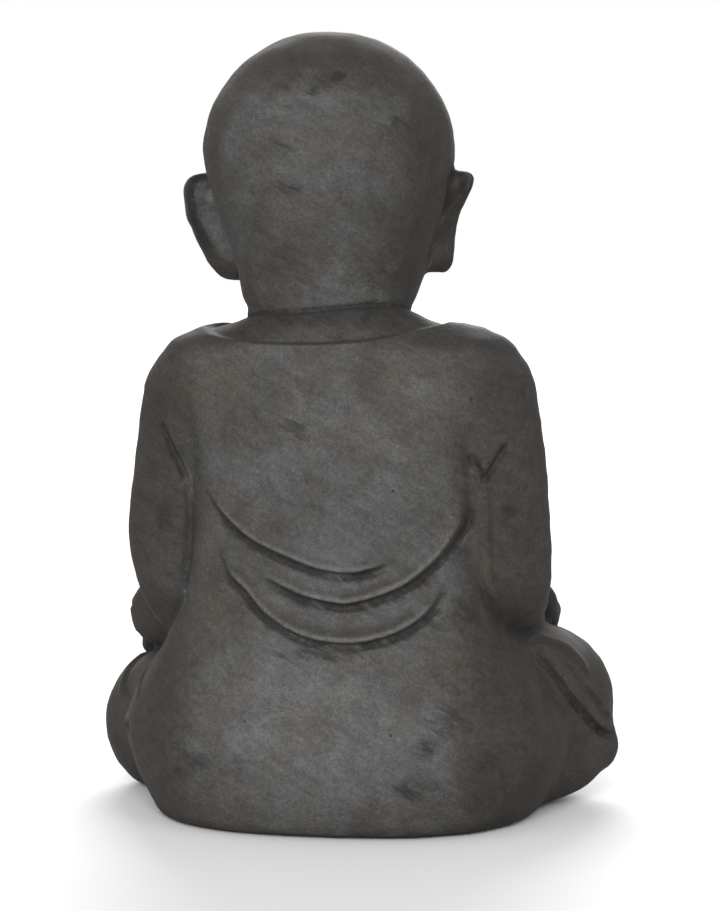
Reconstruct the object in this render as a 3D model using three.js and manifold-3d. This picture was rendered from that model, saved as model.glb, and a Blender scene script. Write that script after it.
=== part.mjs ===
// A seated child monk for the garden, cast as one piece and standing on its flat underside.
// The monk faces -Y, its left hand is on the +X side, +Z is up, and the ground is z = 0.
import * as THREE from "three";
import { mergeVertices } from "three/addons/utils/BufferGeometryUtils.js";
import Module from "manifold-3d";

const wasm = await Module();
wasm.setup();

// Driving size in millimetres, from the ground to the crown of the head.
const figureHeight = 500;

// Every place and size on the figure below is a share of its height, in hundredths.
const share = figureHeight / 100;

// Skirt, torso and shoulders: one loft of rounded sections, from the ground up to the neck.
// Each section is its height, centre x and y, half width, depth forward, depth back and squareness.
const bodySections = [
  [-0.6, 0, 2, 22.4, 20, 20.6, 2.5],
  [0.2, -0.2, 2, 24.2, 21.6, 22.6, 2.5],
  [2.2, -0.4, 2, 25.6, 22.6, 23.8, 2.5],
  [6.4, -0.4, 2, 27.8, 23, 24.6, 2.4],
  [11.4, -0.2, 2.2, 28.6, 22, 24.2, 2.4],
  [16.4, 0, 2.8, 26.6, 18.6, 22.6, 2.4],
  [22, 0, 4, 22.8, 15, 19.8, 2.6],
  [29, 0, 4.8, 20, 13.6, 17, 2.8],
  [37, 0, 5, 19.2, 13.4, 15.6, 3],
  [46, 0, 5.2, 19.4, 12.6, 15, 3],
  [54, 0.2, 5.4, 21, 11.6, 14, 2.8],
  [59, 0.4, 5.8, 20, 10, 12.2, 2.6],
  [61.6, 0.6, 6, 16.6, 8.2, 10.8, 2.3],
  [63.6, 0.8, 5.8, 12.4, 7, 9.6, 2.1],
  [65.2, 1, 5.4, 9, 6, 8, 2],
];
const bodySides = 40;
const bodyRows = 20;

// Head and neck: a loft between two poles, with the same columns, from inside the chest to the crown.
const headSections = [
  [58, 1, 4, 0.1, 0.1, 0.1, 2],
  [59, 1.2, 4, 8, 6, 8, 2],
  [62.6, 2.1, 3.6, 10.4, 7, 9.8, 2],
  [64.6, 2.3, 2.8, 10.6, 9, 10.6, 2],
  [66.4, 2.5, 1.8, 11.35, 12.4, 12, 2],
  [69.4, 2.3, 1.2, 12.05, 15.2, 13.8, 2.1],
  [74, 2.3, 1.2, 13.3, 16.4, 16, 2.15],
  [79, 2.3, 1.4, 15, 16.9, 17.6, 2.15],
  [84.4, 2.55, 1.4, 16.1, 17.2, 18.2, 2.1],
  [89, 2.55, 1.4, 15.5, 16.5, 17.6, 2],
  [93, 2.55, 1.4, 13.5, 14.4, 15.2, 2],
  [96.4, 2.55, 1.4, 10.5, 11.2, 11.8, 2],
  [98.8, 2.55, 1.4, 6.6, 7.1, 7.5, 2],
  [99.75, 2.55, 1.4, 3, 3.2, 3.4, 2],
  [100, 2.55, 1.4, 0.02, 0.02, 0.02, 2],
];
const headSides = 30;
const headRows = 20;
const headMiddle = 2.3;

// Ears: bevelled flaps, from the place of their root beside the head's middle plane.
// Each rim is an outline of steps out from the root and up; the left ear is the larger one, and
// its lobe hangs lower. The back of an ear is filled in towards the head, and gets thicker from
// the rim inwards.
const ear = {
  root: [14.2, -3, 75.4],
  flare: 48,
  thickness: 0.5,
  bevel: 0.5,
  thinRim: 5,
  backSlope: 0.67,
  leftRim: [
    [-3.8, -5],
    [-0.8, -6.9],
    [1.4, -6.6],
    [3.3, -4.8],
    [5, -2.2],
    [6.6, 0.8],
    [7.2, 3.6],
    [6.9, 5.4],
    [5.4, 6.3],
    [1.4, 6.5],
    [-3, 5.4],
  ],
  rightRim: [
    [-1.8, -4.4],
    [-0.9, -6],
    [0.1, -5.7],
    [0.9, -4.4],
    [1.3, -1.8],
    [2.4, 1.2],
    [4.2, 3.4],
    [5.5, 5.1],
    [5, 6.3],
    [1.2, 6.5],
    [-2.4, 5.4],
  ],
};

// Neck opening of the robe: a round hole behind and a pointed one down the chest.
const opening = {
  centre: [0.8, 6],
  halfWidth: 15.2,
  depth: 11.5,
  floor: 59.4,
  point: 46.5,
  chestHalfWidth: 9.4,
};
const clothThickness = 0.8;

// Sleeves and legs: the places that each passes through, from root to tip, and its radius there.
// A blunt tip is a share of a whole round one.
const limbs = {
  leftSleeve: {
    path: [
      [17.6, 7, 52.6],
      [19.8, 7.6, 44],
      [20.9, 8, 36],
      [20.4, 6.8, 29.4],
      [20.6, 1.4, 25.6],
      [24, -2.6, 24.4],
      [26.4, -5.4, 23.8],
    ],
    radii: [8.2, 7, 6.6, 6, 5, 4.6, 4.6],
    sides: 12,
    steps: 10,
    facing: [1, 0, 0],
    blunt: 0.3,
  },
  rightSleeve: {
    path: [
      [-16.9, 7, 52.8],
      [-19.3, 7.6, 44],
      [-20.3, 8, 36],
      [-20.6, 6.8, 30.4],
      [-20.4, 1.4, 27.4],
      [-20.6, -2.6, 26.8],
      [-20.6, -5.4, 26.6],
    ],
    radii: [8.2, 7, 6.6, 6.2, 5.3, 4.8, 4.7],
    sides: 12,
    steps: 10,
    facing: [1, 0, 0],
    blunt: 0.3,
  },
  leftThigh: {
    path: [[10, 8, 12], [18, 0, 11], [24.8, -8.6, 8.7]],
    radii: [11, 10.4, 10.2],
    sides: 14,
    steps: 5,
  },
  rightThigh: {
    path: [[-10, 8, 13], [-18.4, 0, 14.2], [-23.2, -8.6, 12.5]],
    radii: [11, 11, 10.3],
    sides: 14,
    steps: 5,
  },
  rightHem: {
    path: [[-21, 2, 4.7], [-26.6, -4, 5.3], [-30.2, -9, 6.8]],
    radii: [5, 4.6, 4],
    sides: 12,
    steps: 3,
  },
  leftShin: {
    path: [[23, -10.6, 8.6], [12, -19.4, 7.4], [-3, -21.6, 6.4]],
    radii: [8.4, 7, 5],
    sides: 12,
    steps: 6,
  },
  rightShin: {
    path: [[-23, -10.6, 9.6], [-12, -18.6, 9], [5, -20, 8.6]],
    radii: [8.8, 7.4, 5.6],
    sides: 12,
    steps: 6,
  },
  foot: {
    path: [[-8, -22, 2.8], [-1, -24.6, 2.6], [3.6, -25.6, 2.2]],
    radii: [2.6, 2.8, 2.2],
    sides: 10,
    steps: 3,
  },
};

// Toes in a row on the foot's tip: the big one's place, the step to the next, and their radii.
const toes = { first: [6.2, -25.2, 2], step: [-1.7, -0.55, -0.12], radii: [1.7, 1.25, 1.2, 1.1, 1] };

// Hands: each knee carries one, palm down, with its fingers bent over the front of the knee.
const hands = [
  { side: 1, wrist: [26.2, -6, 23.6], knuckles: [26, -11.6, 21.6], knee: "leftThigh" },
  { side: -1, wrist: [-20.9, -6, 27.2], knuckles: [-21.3, -11.6, 25.9], knee: "rightThigh" },
];
const palmRadii = [[3.2, 3], [3.7, 2.7], [4, 2]];
const fingerPitch = 2.2;
const fingerRadius = 1.45;
const fingerBends = [54, 64, 62, 52];
const fingerInturn = 0.5;

// Strokes raised on a loft's skin, behind it or in front: the x, z and rise that each passes through,
// its half width and half thickness there, and how far its lower edge is tilted out.
const swag = { wide: [0.5, 2, 2.2, 2.2, 2, 0.5], thick: 0.5, tilt: 24 };
const backFolds = [
  [[15.6, 42.8], [11.6, 38.5], [6.9, 35], [2.4, 32.9], [-2.3, 31.8], [-8.6, 32.9]],
  [[-16.8, 37.4], [-13.2, 32.3], [-8.6, 29.4], [-2.9, 28], [2.4, 28.9], [7.5, 31.4]],
  [
    [13.8, 36],
    [11.2, 31.7],
    [7.8, 27.5],
    [3.7, 24.5],
    [-1.4, 23.2],
    [-7.2, 23.6],
    [-12.3, 26.1],
    [-15.2, 30],
  ],
];
const collars = [
  [[-9, 60.4], [-6, 55.4], [-1.6, 49], [3.6, 43.6]],
  [[10.4, 60.4], [7.2, 55.4], [2.6, 49], [-3.6, 41.6], [-11, 33.6], [-16, 28]],
];
const collarBand = { wide: [1.6, 1.6, 1.6, 1.6], thick: 0.55, tilt: 0 };
const face = {
  lid: { place: [4.8, 79.4], radii: [2.9, 1.3, 1.5], sunk: 0.5 },
  nostril: { place: [1.5, 75.7], radii: [1, 1.1, 0.9], sunk: -0.2 },
  chin: { place: [0, 68], radii: [3.2, 2, 2.2], sunk: 1.1 },
  nose: {
    line: [[0, 81.4, -0.3], [0, 78.6, 0.3], [0, 76.2, 0.9]],
    radii: [0.8, 1.1, 1.5],
    facing: [0, -1, 0],
  },
  brow: { line: [[1.8, 82, -0.2], [5, 83.4, -0.1], [8.6, 82, -0.5]], radii: [0.5, 0.8, 0.5] },
  upperLip: { line: [[-3, 72.1, -0.3], [0, 72.5, 0.1], [3, 72.1, -0.3]], radii: [0.4, 0.85, 0.4] },
  lowerLip: { line: [[-2.2, 71.3, -0.2], [0, 70.8, 0], [2.2, 71.3, -0.2]], radii: [0.4, 0.95, 0.4] },
};

// Folds over the right knee: directions from its middle that each passes through.
const kneeFolds = [
  [[0.08, 0.5, 0.87], [-0.24, 0.54, 0.81], [-0.53, 0.54, 0.66], [-0.65, 0.58, 0.5]],
  [[-0.02, 0.69, 0.73], [-0.36, 0.85, 0.4], [-0.7, 0.7, -0.1], [-0.91, 0.17, -0.36]],
  [[-0.55, 0.67, 0.51], [-0.73, 0.64, 0.22], [-0.9, 0.42, -0.12]],
];
const kneeFoldRadius = 0.9;
const lapFolds = [
  [[24, -17.4, 13], [12.6, -25, 12], [0, -26.2, 9.4]],
  [[22, -18.4, 7.4], [11, -26, 6.4], [-1, -26.6, 5]],
  [[-23, -18, 14.6], [-12, -25, 13], [3, -24.8, 11]],
];
const lapFoldRadius = 0.9;

// Values at even steps along a row of numbers or points, joined by a smooth curve.
function smoothRow(rows) {
  const curves = rows[0].map((_, k) => {
    const places = rows.map((row) => new THREE.Vector3(row[k], 0, 0));
    return new THREE.CatmullRomCurve3(places, false, "catmullrom");
  });
  return (t) => curves.map((curve) => curve.getPoint(t).x);
}

// Turns a three.js geometry so that its axis is upright, and moves each of its vertices by a rule.
function reshaped(geometry, rule) {
  geometry.rotateX(Math.PI / 2);
  const positions = geometry.attributes.position;
  const vertex = new THREE.Vector3();
  for (let i = 0; i < positions.count; i++) {
    vertex.fromBufferAttribute(positions, i);
    const moved = rule(vertex).multiplyScalar(share);
    positions.setXYZ(i, moved.x, moved.y, moved.z);
  }
  return geometry;
}

// A closed three.js geometry as a solid that can be joined and cut.
function solidOf(geometry) {
  geometry.deleteAttribute("normal");
  geometry.deleteAttribute("uv");
  const merged = mergeVertices(geometry, 1e-3);
  return new wasm.Manifold(
    new wasm.Mesh({
      numProp: 3,
      vertProperties: merged.attributes.position.array,
      triVerts: new Uint32Array(merged.index.array),
    }),
  );
}

const vector = (values) => new THREE.Vector3(...values);
const degrees = THREE.MathUtils.degToRad;
const power = (value, exponent) => Math.sign(value) * Math.abs(value) ** exponent;

// Point of a loft's section at an angle and a share of its width, drawn in by a thickness.
function sectionPoint([z, centreX, centreY, halfWidth, forward, back, squareness], angle, rim, inset) {
  const depth = Math.sin(angle) < 0 ? forward : back;
  return new THREE.Vector3(
    centreX + rim * (halfWidth - inset) * power(Math.cos(angle), 2 / squareness),
    centreY + rim * (depth - inset) * power(Math.sin(angle), 2 / squareness),
    z - inset * 0.4,
  );
}

function body(inset) {
  const section = smoothRow(bodySections);
  const column = new THREE.CylinderGeometry(1, 1, 1, bodySides, bodyRows);
  return reshaped(column, (p) =>
    sectionPoint(section(p.z + 0.5), Math.atan2(p.y, p.x), Math.hypot(p.x, p.y), inset),
  );
}

function head() {
  const section = smoothRow(headSections);
  const ball = new THREE.SphereGeometry(1, headSides, headRows);
  return reshaped(ball, (p) => {
    const fromPole = Math.acos(THREE.MathUtils.clamp(-p.z, -1, 1)) / Math.PI;
    return sectionPoint(section(fromPole), Math.atan2(p.y, p.x), 1, 0);
  });
}

// Where a loft's skin lies at a place across and up: side 1 is behind it and side -1 in front.
function skin(sections, x, z, side) {
  const section = smoothRow(sections);
  let low = 0;
  let high = 1;
  for (let k = 0; k < 40; k++) {
    const middle = (low + high) / 2;
    if (section(middle)[0] < z) low = middle;
    else high = middle;
  }
  const [, centreX, centreY, halfWidth, forward, back, squareness] = section(low);
  const across = Math.min(Math.abs((x - centreX) / halfWidth), 0.985);
  const depth = (side > 0 ? back : forward) * (1 - across ** squareness) ** (1 / squareness);
  return new THREE.Vector3(x, centreY + side * depth, z);
}

function skinNormal(sections, x, z, side) {
  const step = 0.4;
  const acrossStep = skin(sections, x + step, z, side).sub(skin(sections, x - step, z, side));
  const upStep = skin(sections, x, z + step, side).sub(skin(sections, x, z - step, side));
  return acrossStep.cross(upStep).normalize().multiplyScalar(-side);
}

// A bent and tapered capsule: the caps take a share of the smaller radius.
function limb({ path, radii, sides = 8, steps = 4, facing = [0, 0, 1], blunt = 1 }) {
  const middle = new THREE.CatmullRomCurve3(path.map(vector), false, "catmullrom");
  const radiusAt = smoothRow(radii.map((r) => (Array.isArray(r) ? r : [r, r])));
  const facingAt = smoothRow(Array.isArray(facing[0]) ? facing : [facing, facing]);
  const capRows = sides > 10 ? 3 : 2;
  const capsule = new THREE.CapsuleGeometry(1, 2, capRows, sides, steps);
  return reshaped(capsule, (p) => {
    const along = THREE.MathUtils.clamp(p.z, -1, 1);
    const t = (along + 1) / 2;
    const tangent = middle.getTangent(t);
    const [wide, thick] = radiusAt(t);
    const outward = vector(facingAt(t));
    outward.addScaledVector(tangent, -outward.dot(tangent)).normalize();
    const across = new THREE.Vector3().crossVectors(outward, tangent);
    const cap = (p.z - along) * Math.min(wide, thick) * (along > 0 ? blunt : 1);
    return middle
      .getPoint(t)
      .addScaledVector(tangent, cap)
      .addScaledVector(across, p.x * wide)
      .addScaledVector(outward, p.y * thick);
  });
}

// A flat strip let into a loft's skin, with its lower edge tilted out of it.
function strip(sections, side, line, { wide, thick, tilt }, steps) {
  const lean = degrees(tilt);
  const lift = wide[2] * Math.cos(lean);
  const facing = line.map(([x, z]) => {
    const outward = skinNormal(sections, x, z + lift, side);
    return outward.multiplyScalar(Math.cos(lean)).add(new THREE.Vector3(0, 0, Math.sin(lean))).toArray();
  });
  return limb({
    path: line.map(([x, z]) => skin(sections, x, z + lift, side).toArray()),
    radii: wide.map((w) => [w, thick]),
    facing,
    sides: 6,
    steps,
  });
}

function ellipsoid(centre, radii, sides = 8, rows = 5) {
  const ball = new THREE.SphereGeometry(1, sides, rows);
  return reshaped(ball, (p) => p.clone().multiply(vector(radii)).add(vector(centre)));
}

// A place on the face, from its middle line, raised out of the skin.
function onFace(x, z, rise) {
  const place = skin(headSections, headMiddle + x, z, -1);
  return place.addScaledVector(skinNormal(headSections, headMiddle + x, z, -1), rise).toArray();
}

function faceKnob({ place, radii, sunk }, side) {
  return ellipsoid(onFace(side * place[0], place[1], -sunk), radii);
}

function faceStroke({ line, radii, facing }, side) {
  const path = line.map(([x, z, rise]) => onFace(side * x, z, rise));
  return limb({ path, radii, facing, sides: 6, steps: 3 });
}

function earFlap(side) {
  const places = (side > 0 ? ear.leftRim : ear.rightRim).map(([out, up]) => vector([out, up, 0]));
  const rim = new THREE.CatmullRomCurve3(places, true, "catmullrom");
  const outline = new THREE.Shape(rim.getPoints(18).slice(0, -1).map((p) => new THREE.Vector2(p.x, p.y)));
  const flap = new THREE.ExtrudeGeometry(outline, {
    depth: ear.thickness,
    bevelThickness: ear.bevel,
    bevelSize: ear.bevel,
    bevelSegments: 2,
  });
  flap.translate(0, 0, -ear.thickness / 2);
  flap.rotateX(-Math.PI / 2);
  const flare = degrees(ear.flare);
  const out = new THREE.Vector3(side * Math.cos(flare), Math.sin(flare), 0);
  const up = new THREE.Vector3(0, 0, 1);
  const across = new THREE.Vector3().crossVectors(out, up);
  const root = new THREE.Vector3(headMiddle + side * ear.root[0], ear.root[1], ear.root[2]);
  return reshaped(flap, (p) => {
    const filled = side * p.z < 0 ? ear.backSlope * Math.max(0, ear.thinRim - p.x) : 0;
    const place = root.clone().addScaledVector(out, p.x).addScaledVector(up, p.y);
    return place.addScaledVector(across, p.z - side * filled);
  });
}

// The round and the pointed cut of the neck opening.
function openingCuts() {
  const tube = new THREE.CylinderGeometry(1, 1, 1, 32, 1);
  const roundCut = reshaped(tube, (p) => new THREE.Vector3(
    opening.centre[0] + p.x * opening.halfWidth,
    opening.centre[1] + p.y * opening.depth,
    opening.floor + (p.z + 0.5) * 20,
  ));
  const top = opening.floor + 4;
  const pointed = new THREE.Shape([
    new THREE.Vector2(0, opening.point),
    new THREE.Vector2(opening.centre[0] + opening.chestHalfWidth, top),
    new THREE.Vector2(opening.centre[0] - opening.chestHalfWidth, top),
  ]);
  const prism = new THREE.ExtrudeGeometry(pointed, { depth: 20, bevelEnabled: false });
  const pointedCut = reshaped(prism, (p) => new THREE.Vector3(p.x, p.y + 4, p.z));
  return [roundCut, pointedCut];
}

// Palm and fingers of a hand; each finger bends over the knee's round tip.
function hand({ side, wrist, knuckles, knee }) {
  const middle = limbs[knee].path.at(-1);
  const radius = limbs[knee].radii.at(-1);
  const rows = fingerBends.map((reach, k) => {
    const start = knuckles[0] + side * (1.5 - k) * fingerPitch;
    const bends = [12, 12 + (reach - 12) / 2, reach].map((bend, row) => {
      const x = start - side * fingerInturn * row;
      const over = Math.sqrt(radius ** 2 - (x - middle[0]) ** 2) + fingerRadius * 0.7;
      return [x, middle[1] - over * Math.sin(degrees(bend)), middle[2] + over * Math.cos(degrees(bend))];
    });
    return limb({
      path: [[start * 0.8 + knuckles[0] * 0.2, knuckles[1] + 1.4, knuckles[2] - 0.2], ...bends],
      radii: [1, 1, 1, 0.8].map((r) => r * fingerRadius),
      facing: [1, 0, 0],
      sides: 5,
      steps: 3,
    });
  });
  const palm = limb({
    path: [[wrist[0], wrist[1] + 1.5, wrist[2]], wrist, knuckles],
    radii: palmRadii,
    sides: 11,
    steps: 3,
    facing: [0, 0, 1],
  });
  return [palm, ...rows];
}

// A place on the right knee in a direction from its middle, where its thigh runs back from it.
function onKnee(direction) {
  const { path, radii } = limbs.rightThigh;
  const tip = vector(path.at(-1));
  const along = vector(path.at(-2)).sub(tip).normalize();
  const ray = vector(direction).normalize();
  const back = Math.max(0, ray.dot(along));
  return tip.addScaledVector(ray, radii.at(-1) / Math.sqrt(1 - back ** 2)).toArray();
}

const forms = [
  ...Object.values(limbs).map(limb),
  ...toes.radii.map((r, k) => ellipsoid(toes.first.map((v, i) => v + toes.step[i] * k), [r, r, r], 6, 4)),
];
let monk = solidOf(body(0));
for (const form of forms) {
  monk = monk.add(solidOf(form));
}
for (const cut of openingCuts()) {
  monk = monk.subtract(solidOf(cut));
}
monk = monk.add(solidOf(body(clothThickness))).add(solidOf(head()));

const reliefs = [
  ...backFolds.map((line) => strip(bodySections, 1, line, swag, 11)),
  ...collars.map((line) => strip(bodySections, -1, line, collarBand, 7)),
  ...lapFolds.map((line) => limb({ path: line, radii: line.map(() => lapFoldRadius), sides: 6, steps: 5 })),
  ...kneeFolds.map((line) => {
    const radii = line.map(() => kneeFoldRadius);
    return limb({ path: line.map(onKnee), radii, sides: 6, steps: 5, facing: [0, 1, 0] });
  }),
  ...hands.flatMap(hand),
  faceKnob(face.chin, 1),
  faceStroke(face.nose, 1),
  faceStroke(face.upperLip, 1),
  faceStroke(face.lowerLip, 1),
];
for (const side of [-1, 1]) {
  reliefs.push(faceKnob(face.lid, side), faceKnob(face.nostril, side));
  reliefs.push(faceStroke(face.brow, side));
}
for (const form of reliefs) {
  monk = monk.add(solidOf(form));
}
for (const side of [-1, 1]) {
  monk = monk.add(solidOf(earFlap(side)));
}

const ground = new THREE.BoxGeometry(100, 100, 20);
ground.translate(0, 0, -10);
ground.scale(share, share, share);
monk = monk.subtract(solidOf(ground));

const made = monk.getMesh();
const geometry = new THREE.BufferGeometry();
geometry.setAttribute("position", new THREE.BufferAttribute(new Float32Array(made.vertProperties), 3));
geometry.setIndex(new THREE.BufferAttribute(new Uint32Array(made.triVerts), 1));
geometry.computeBoundingBox();
const box = geometry.boundingBox;
geometry.translate(-(box.min.x + box.max.x) / 2, -(box.min.y + box.max.y) / 2, 0);
geometry.computeVertexNormals();

const castStone = new THREE.MeshStandardMaterial({ color: 0x4f4c49, roughness: 0.88, metalness: 0 });
const figure = new THREE.Mesh(geometry, castStone);
figure.name = "monk_figure";
const part = new THREE.Group();
part.add(figure);

export default part;
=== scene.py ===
from math import radians, sqrt

import bmesh
import bpy
import numpy as np
from mathutils import Matrix, Vector


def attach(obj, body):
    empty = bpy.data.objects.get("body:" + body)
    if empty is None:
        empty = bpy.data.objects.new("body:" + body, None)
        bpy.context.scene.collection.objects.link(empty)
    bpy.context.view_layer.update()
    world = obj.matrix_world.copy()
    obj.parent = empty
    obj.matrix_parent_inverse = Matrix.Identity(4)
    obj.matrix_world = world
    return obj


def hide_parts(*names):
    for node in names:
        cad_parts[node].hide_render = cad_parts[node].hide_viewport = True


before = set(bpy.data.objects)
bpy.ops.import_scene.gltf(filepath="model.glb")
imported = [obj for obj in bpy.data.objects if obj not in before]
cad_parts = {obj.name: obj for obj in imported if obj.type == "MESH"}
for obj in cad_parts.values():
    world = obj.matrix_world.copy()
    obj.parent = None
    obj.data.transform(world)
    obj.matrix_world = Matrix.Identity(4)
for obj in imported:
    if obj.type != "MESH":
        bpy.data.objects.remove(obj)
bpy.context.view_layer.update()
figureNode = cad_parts["monk_figure"]
share = 0.005  # metres in one hundredth of the figure's height; every size of its form is in these


def smoothRow(rows, t):  # values at shares t of a row of numbers or points, on one smooth curve
    rows = np.asarray(rows, float)
    last = len(rows) - 1
    place = np.clip(np.asarray(t, float), 0, 1) * last
    k = np.minimum(place.astype(int), last - 1)
    w = (place - k)[..., None]
    first = (k > 0)[..., None]
    final = (k < last - 1)[..., None]
    before = np.where(first, rows[np.maximum(k - 1, 0)], 2 * rows[0] - rows[1])
    after = np.where(final, rows[np.minimum(k + 2, last)], 2 * rows[last] - rows[last - 1])
    a, b = rows[k], rows[k + 1]
    slopeA, slopeB = (b - before) / 2, (after - a) / 2
    cubic = 2 * a - 2 * b + slopeA + slopeB
    square = -3 * a + 3 * b - 2 * slopeA - slopeB
    return cubic * w**3 + square * w**2 + slopeA * w + a


def ramp(value, low, high):  # 0 below low, 1 above high, smooth between
    t = np.clip((value - low) / (high - low), 0, 1)
    return t * t * (3 - 2 * t)


def tapered(along, width):  # 1 in the middle of a line, fading to 0 at both ends
    return ramp(along, 0, width) * ramp(1 - along, 0, width)


def joinForms(a, b, soft):  # union of two distances with a soft crease
    h = np.clip(0.5 + 0.5 * (b - a) / soft, 0, 1)
    return b * (1 - h) + a * h - soft * h * (1 - h)


def cutForm(a, b, soft):  # what two distances have in common, with a soft edge
    return -joinForms(-a, -b, soft)


def unit(v):
    return v / np.maximum(np.linalg.norm(v, axis=-1, keepdims=True), 1e-9)


# Skirt, torso and shoulders under the robe, from the ground up: each section is its height, centre x and y,
# half width, depth forward, depth back and squareness.
robe = {
    "sections": [
        [-0.6, 0, 2, 22.4, 20, 20.6, 2.5],
        [0.2, -0.2, 2, 24.2, 21.6, 22.6, 2.5],
        [2.2, -0.4, 2, 25.6, 22.6, 23.8, 2.5],
        [6.4, -0.4, 2, 27.8, 23, 24.6, 2.4],
        [11.4, -0.2, 2.2, 28.6, 22, 24.2, 2.4],
        [16.4, 0, 2.8, 26.6, 18.6, 22.6, 2.4],
        [22, 0, 4, 22.8, 15, 19.8, 2.6],
        [29, 0, 4.8, 20, 13.6, 17, 2.8],
        [37, 0, 5, 19.2, 13.4, 15.6, 3],
        [46, 0, 5.2, 19.4, 12.6, 15, 3],
        [54, 0.2, 5.4, 21, 11.6, 14, 2.8],
        [59, 0.4, 5.8, 20, 10, 12.2, 2.6],
        [61.6, 0.6, 6, 16.6, 8.2, 10.8, 2.3],
        [63.6, 0.8, 5.8, 12.4, 7, 9.6, 2.1],
        [65.2, 1, 5.4, 9, 6, 8, 2],
    ],
    # the neckline behind, as x and z, and the two edges of the pointed opening in front, as z and x
    "neckline": [[-16.5, 64.2], [-13.4, 62.6], [-10.6, 61.9], [-8.7, 61.4], [-5.5, 60.7], [-2.1, 60.4],
                 [1.4, 60.2], [5.1, 60.2], [8.9, 60.3], [13.7, 60.9], [16.1, 61.4], [18.6, 62.6]],
    "edges": [[41, 1.2, -1.2], [46.4, 0.4, 0.1], [49, -1.2, 1.9], [55.4, -5.6, 6.6], [60, -8.6, 9.8],
              [63, -10.6, 12]],
    "clothStep": 0.72,
    # folds hung across the back: the x and z of each lower edge, its rise and how far up it fades
    "backFolds": [
        {"line": [[15.9, 43], [14.1, 40.2], [12.1, 38.3], [9.6, 36.3], [7.1, 35], [4.6, 34], [2.3, 33.1],
                  [-0.1, 32.4], [-2.4, 32.1], [-4.7, 32.2], [-7.4, 32.9], [-10, 34.2]], "rise": 0.95,
         "fade": 3.4},
        {"line": [[-16.6, 43], [-17.2, 39], [-16.2, 36.7], [-14.7, 34.4], [-12.8, 32.5], [-10.8, 30.9],
                  [-8.6, 29.8], [-5.9, 28.9], [-3.1, 28.3], [-0.2, 28.7], [2.1, 29.2], [4.5, 30.2],
                  [6.4, 31], [8.3, 32]], "rise": 1.05, "fade": 2.0},
        {"line": [[14.6, 37.2], [12.9, 33.5], [11.7, 31.5], [9.5, 29.7], [7.6, 27.6], [5.4, 26],
                  [3.3, 24.9], [1, 24.1], [-1.9, 23.7], [-4.7, 23.7], [-7.4, 24.2], [-10.2, 25.2],
                  [-12.3, 26.5], [-13.7, 28], [-14.6, 29.6], [-15.2, 31.6]], "rise": 1.05, "fade": 2.4},
    ],
    "frontFolds": [
        {"line": [[-15.5, 33.5], [-8, 26.8], [2, 24], [11, 27], [16, 32]], "rise": 0.5, "fade": 2.4},
        {"line": [[-13.5, 27], [-5, 21.8], [5, 20.4], [13, 24.5]], "rise": 0.5, "fade": 2},
    ],
    "collarWidth": 2.7,
    "collarRise": 0.42,
    "lapLine": [[3.2, 49.6], [0.2, 46.2], [-4.6, 41], [-11, 34.2], [-17, 28]],
}
skull = {
    "sections": [
        [59, 1.2, 4, 8, 6, 8, 2],
        [62.6, 2.1, 3.6, 10.4, 7, 9.8, 2],
        [64.6, 2.3, 2.8, 10.6, 9, 10.6, 2],
        [66.4, 2.5, 1.8, 11.35, 12.4, 12, 2],
        [69.4, 2.3, 1.2, 12.05, 15.2, 13.8, 2.1],
        [74, 2.3, 1.2, 13.3, 16.4, 16, 2.15],
        [79, 2.3, 1.4, 15, 16.9, 17.6, 2.15],
        [84.4, 2.55, 1.4, 16.1, 17.2, 18.2, 2.1],
        [89, 2.55, 1.4, 15.5, 16.5, 17.6, 2],
        [93, 2.55, 1.4, 13.5, 14.4, 15.2, 2],
        [96.4, 2.55, 1.4, 10.5, 11.2, 11.8, 2],
        [98.8, 2.55, 1.4, 6.6, 7.1, 7.5, 2],
        [99.75, 2.55, 1.4, 3, 3.2, 3.4, 2],
        [100, 2.55, 1.4, 0.02, 0.02, 0.02, 2],
    ],
    "middle": 2.3,
}
ears = {
    "root": (14.2, -3, 75.4),
    "flare": 48,
    "halfThickness": 0.72,
    "tipOut": 5,
    "backSlant": 14,
    "rims": {
        1: [[-3.8, -5], [-0.8, -6.9], [1.4, -6.6], [3.3, -4.8], [5, -2.2], [6.6, 0.8], [7.2, 3.6],
            [6.9, 5.4], [5.4, 6.3], [1.4, 6.5], [-3, 5.4]],
        -1: [[-1.8, -4.4], [-0.9, -6], [0.1, -5.7], [0.9, -4.4], [1.3, -1.8], [2.4, 1.2], [4.2, 3.4],
             [5.5, 5.1], [5, 6.3], [1.2, 6.5], [-2.4, 5.4]],
    },
}
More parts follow.
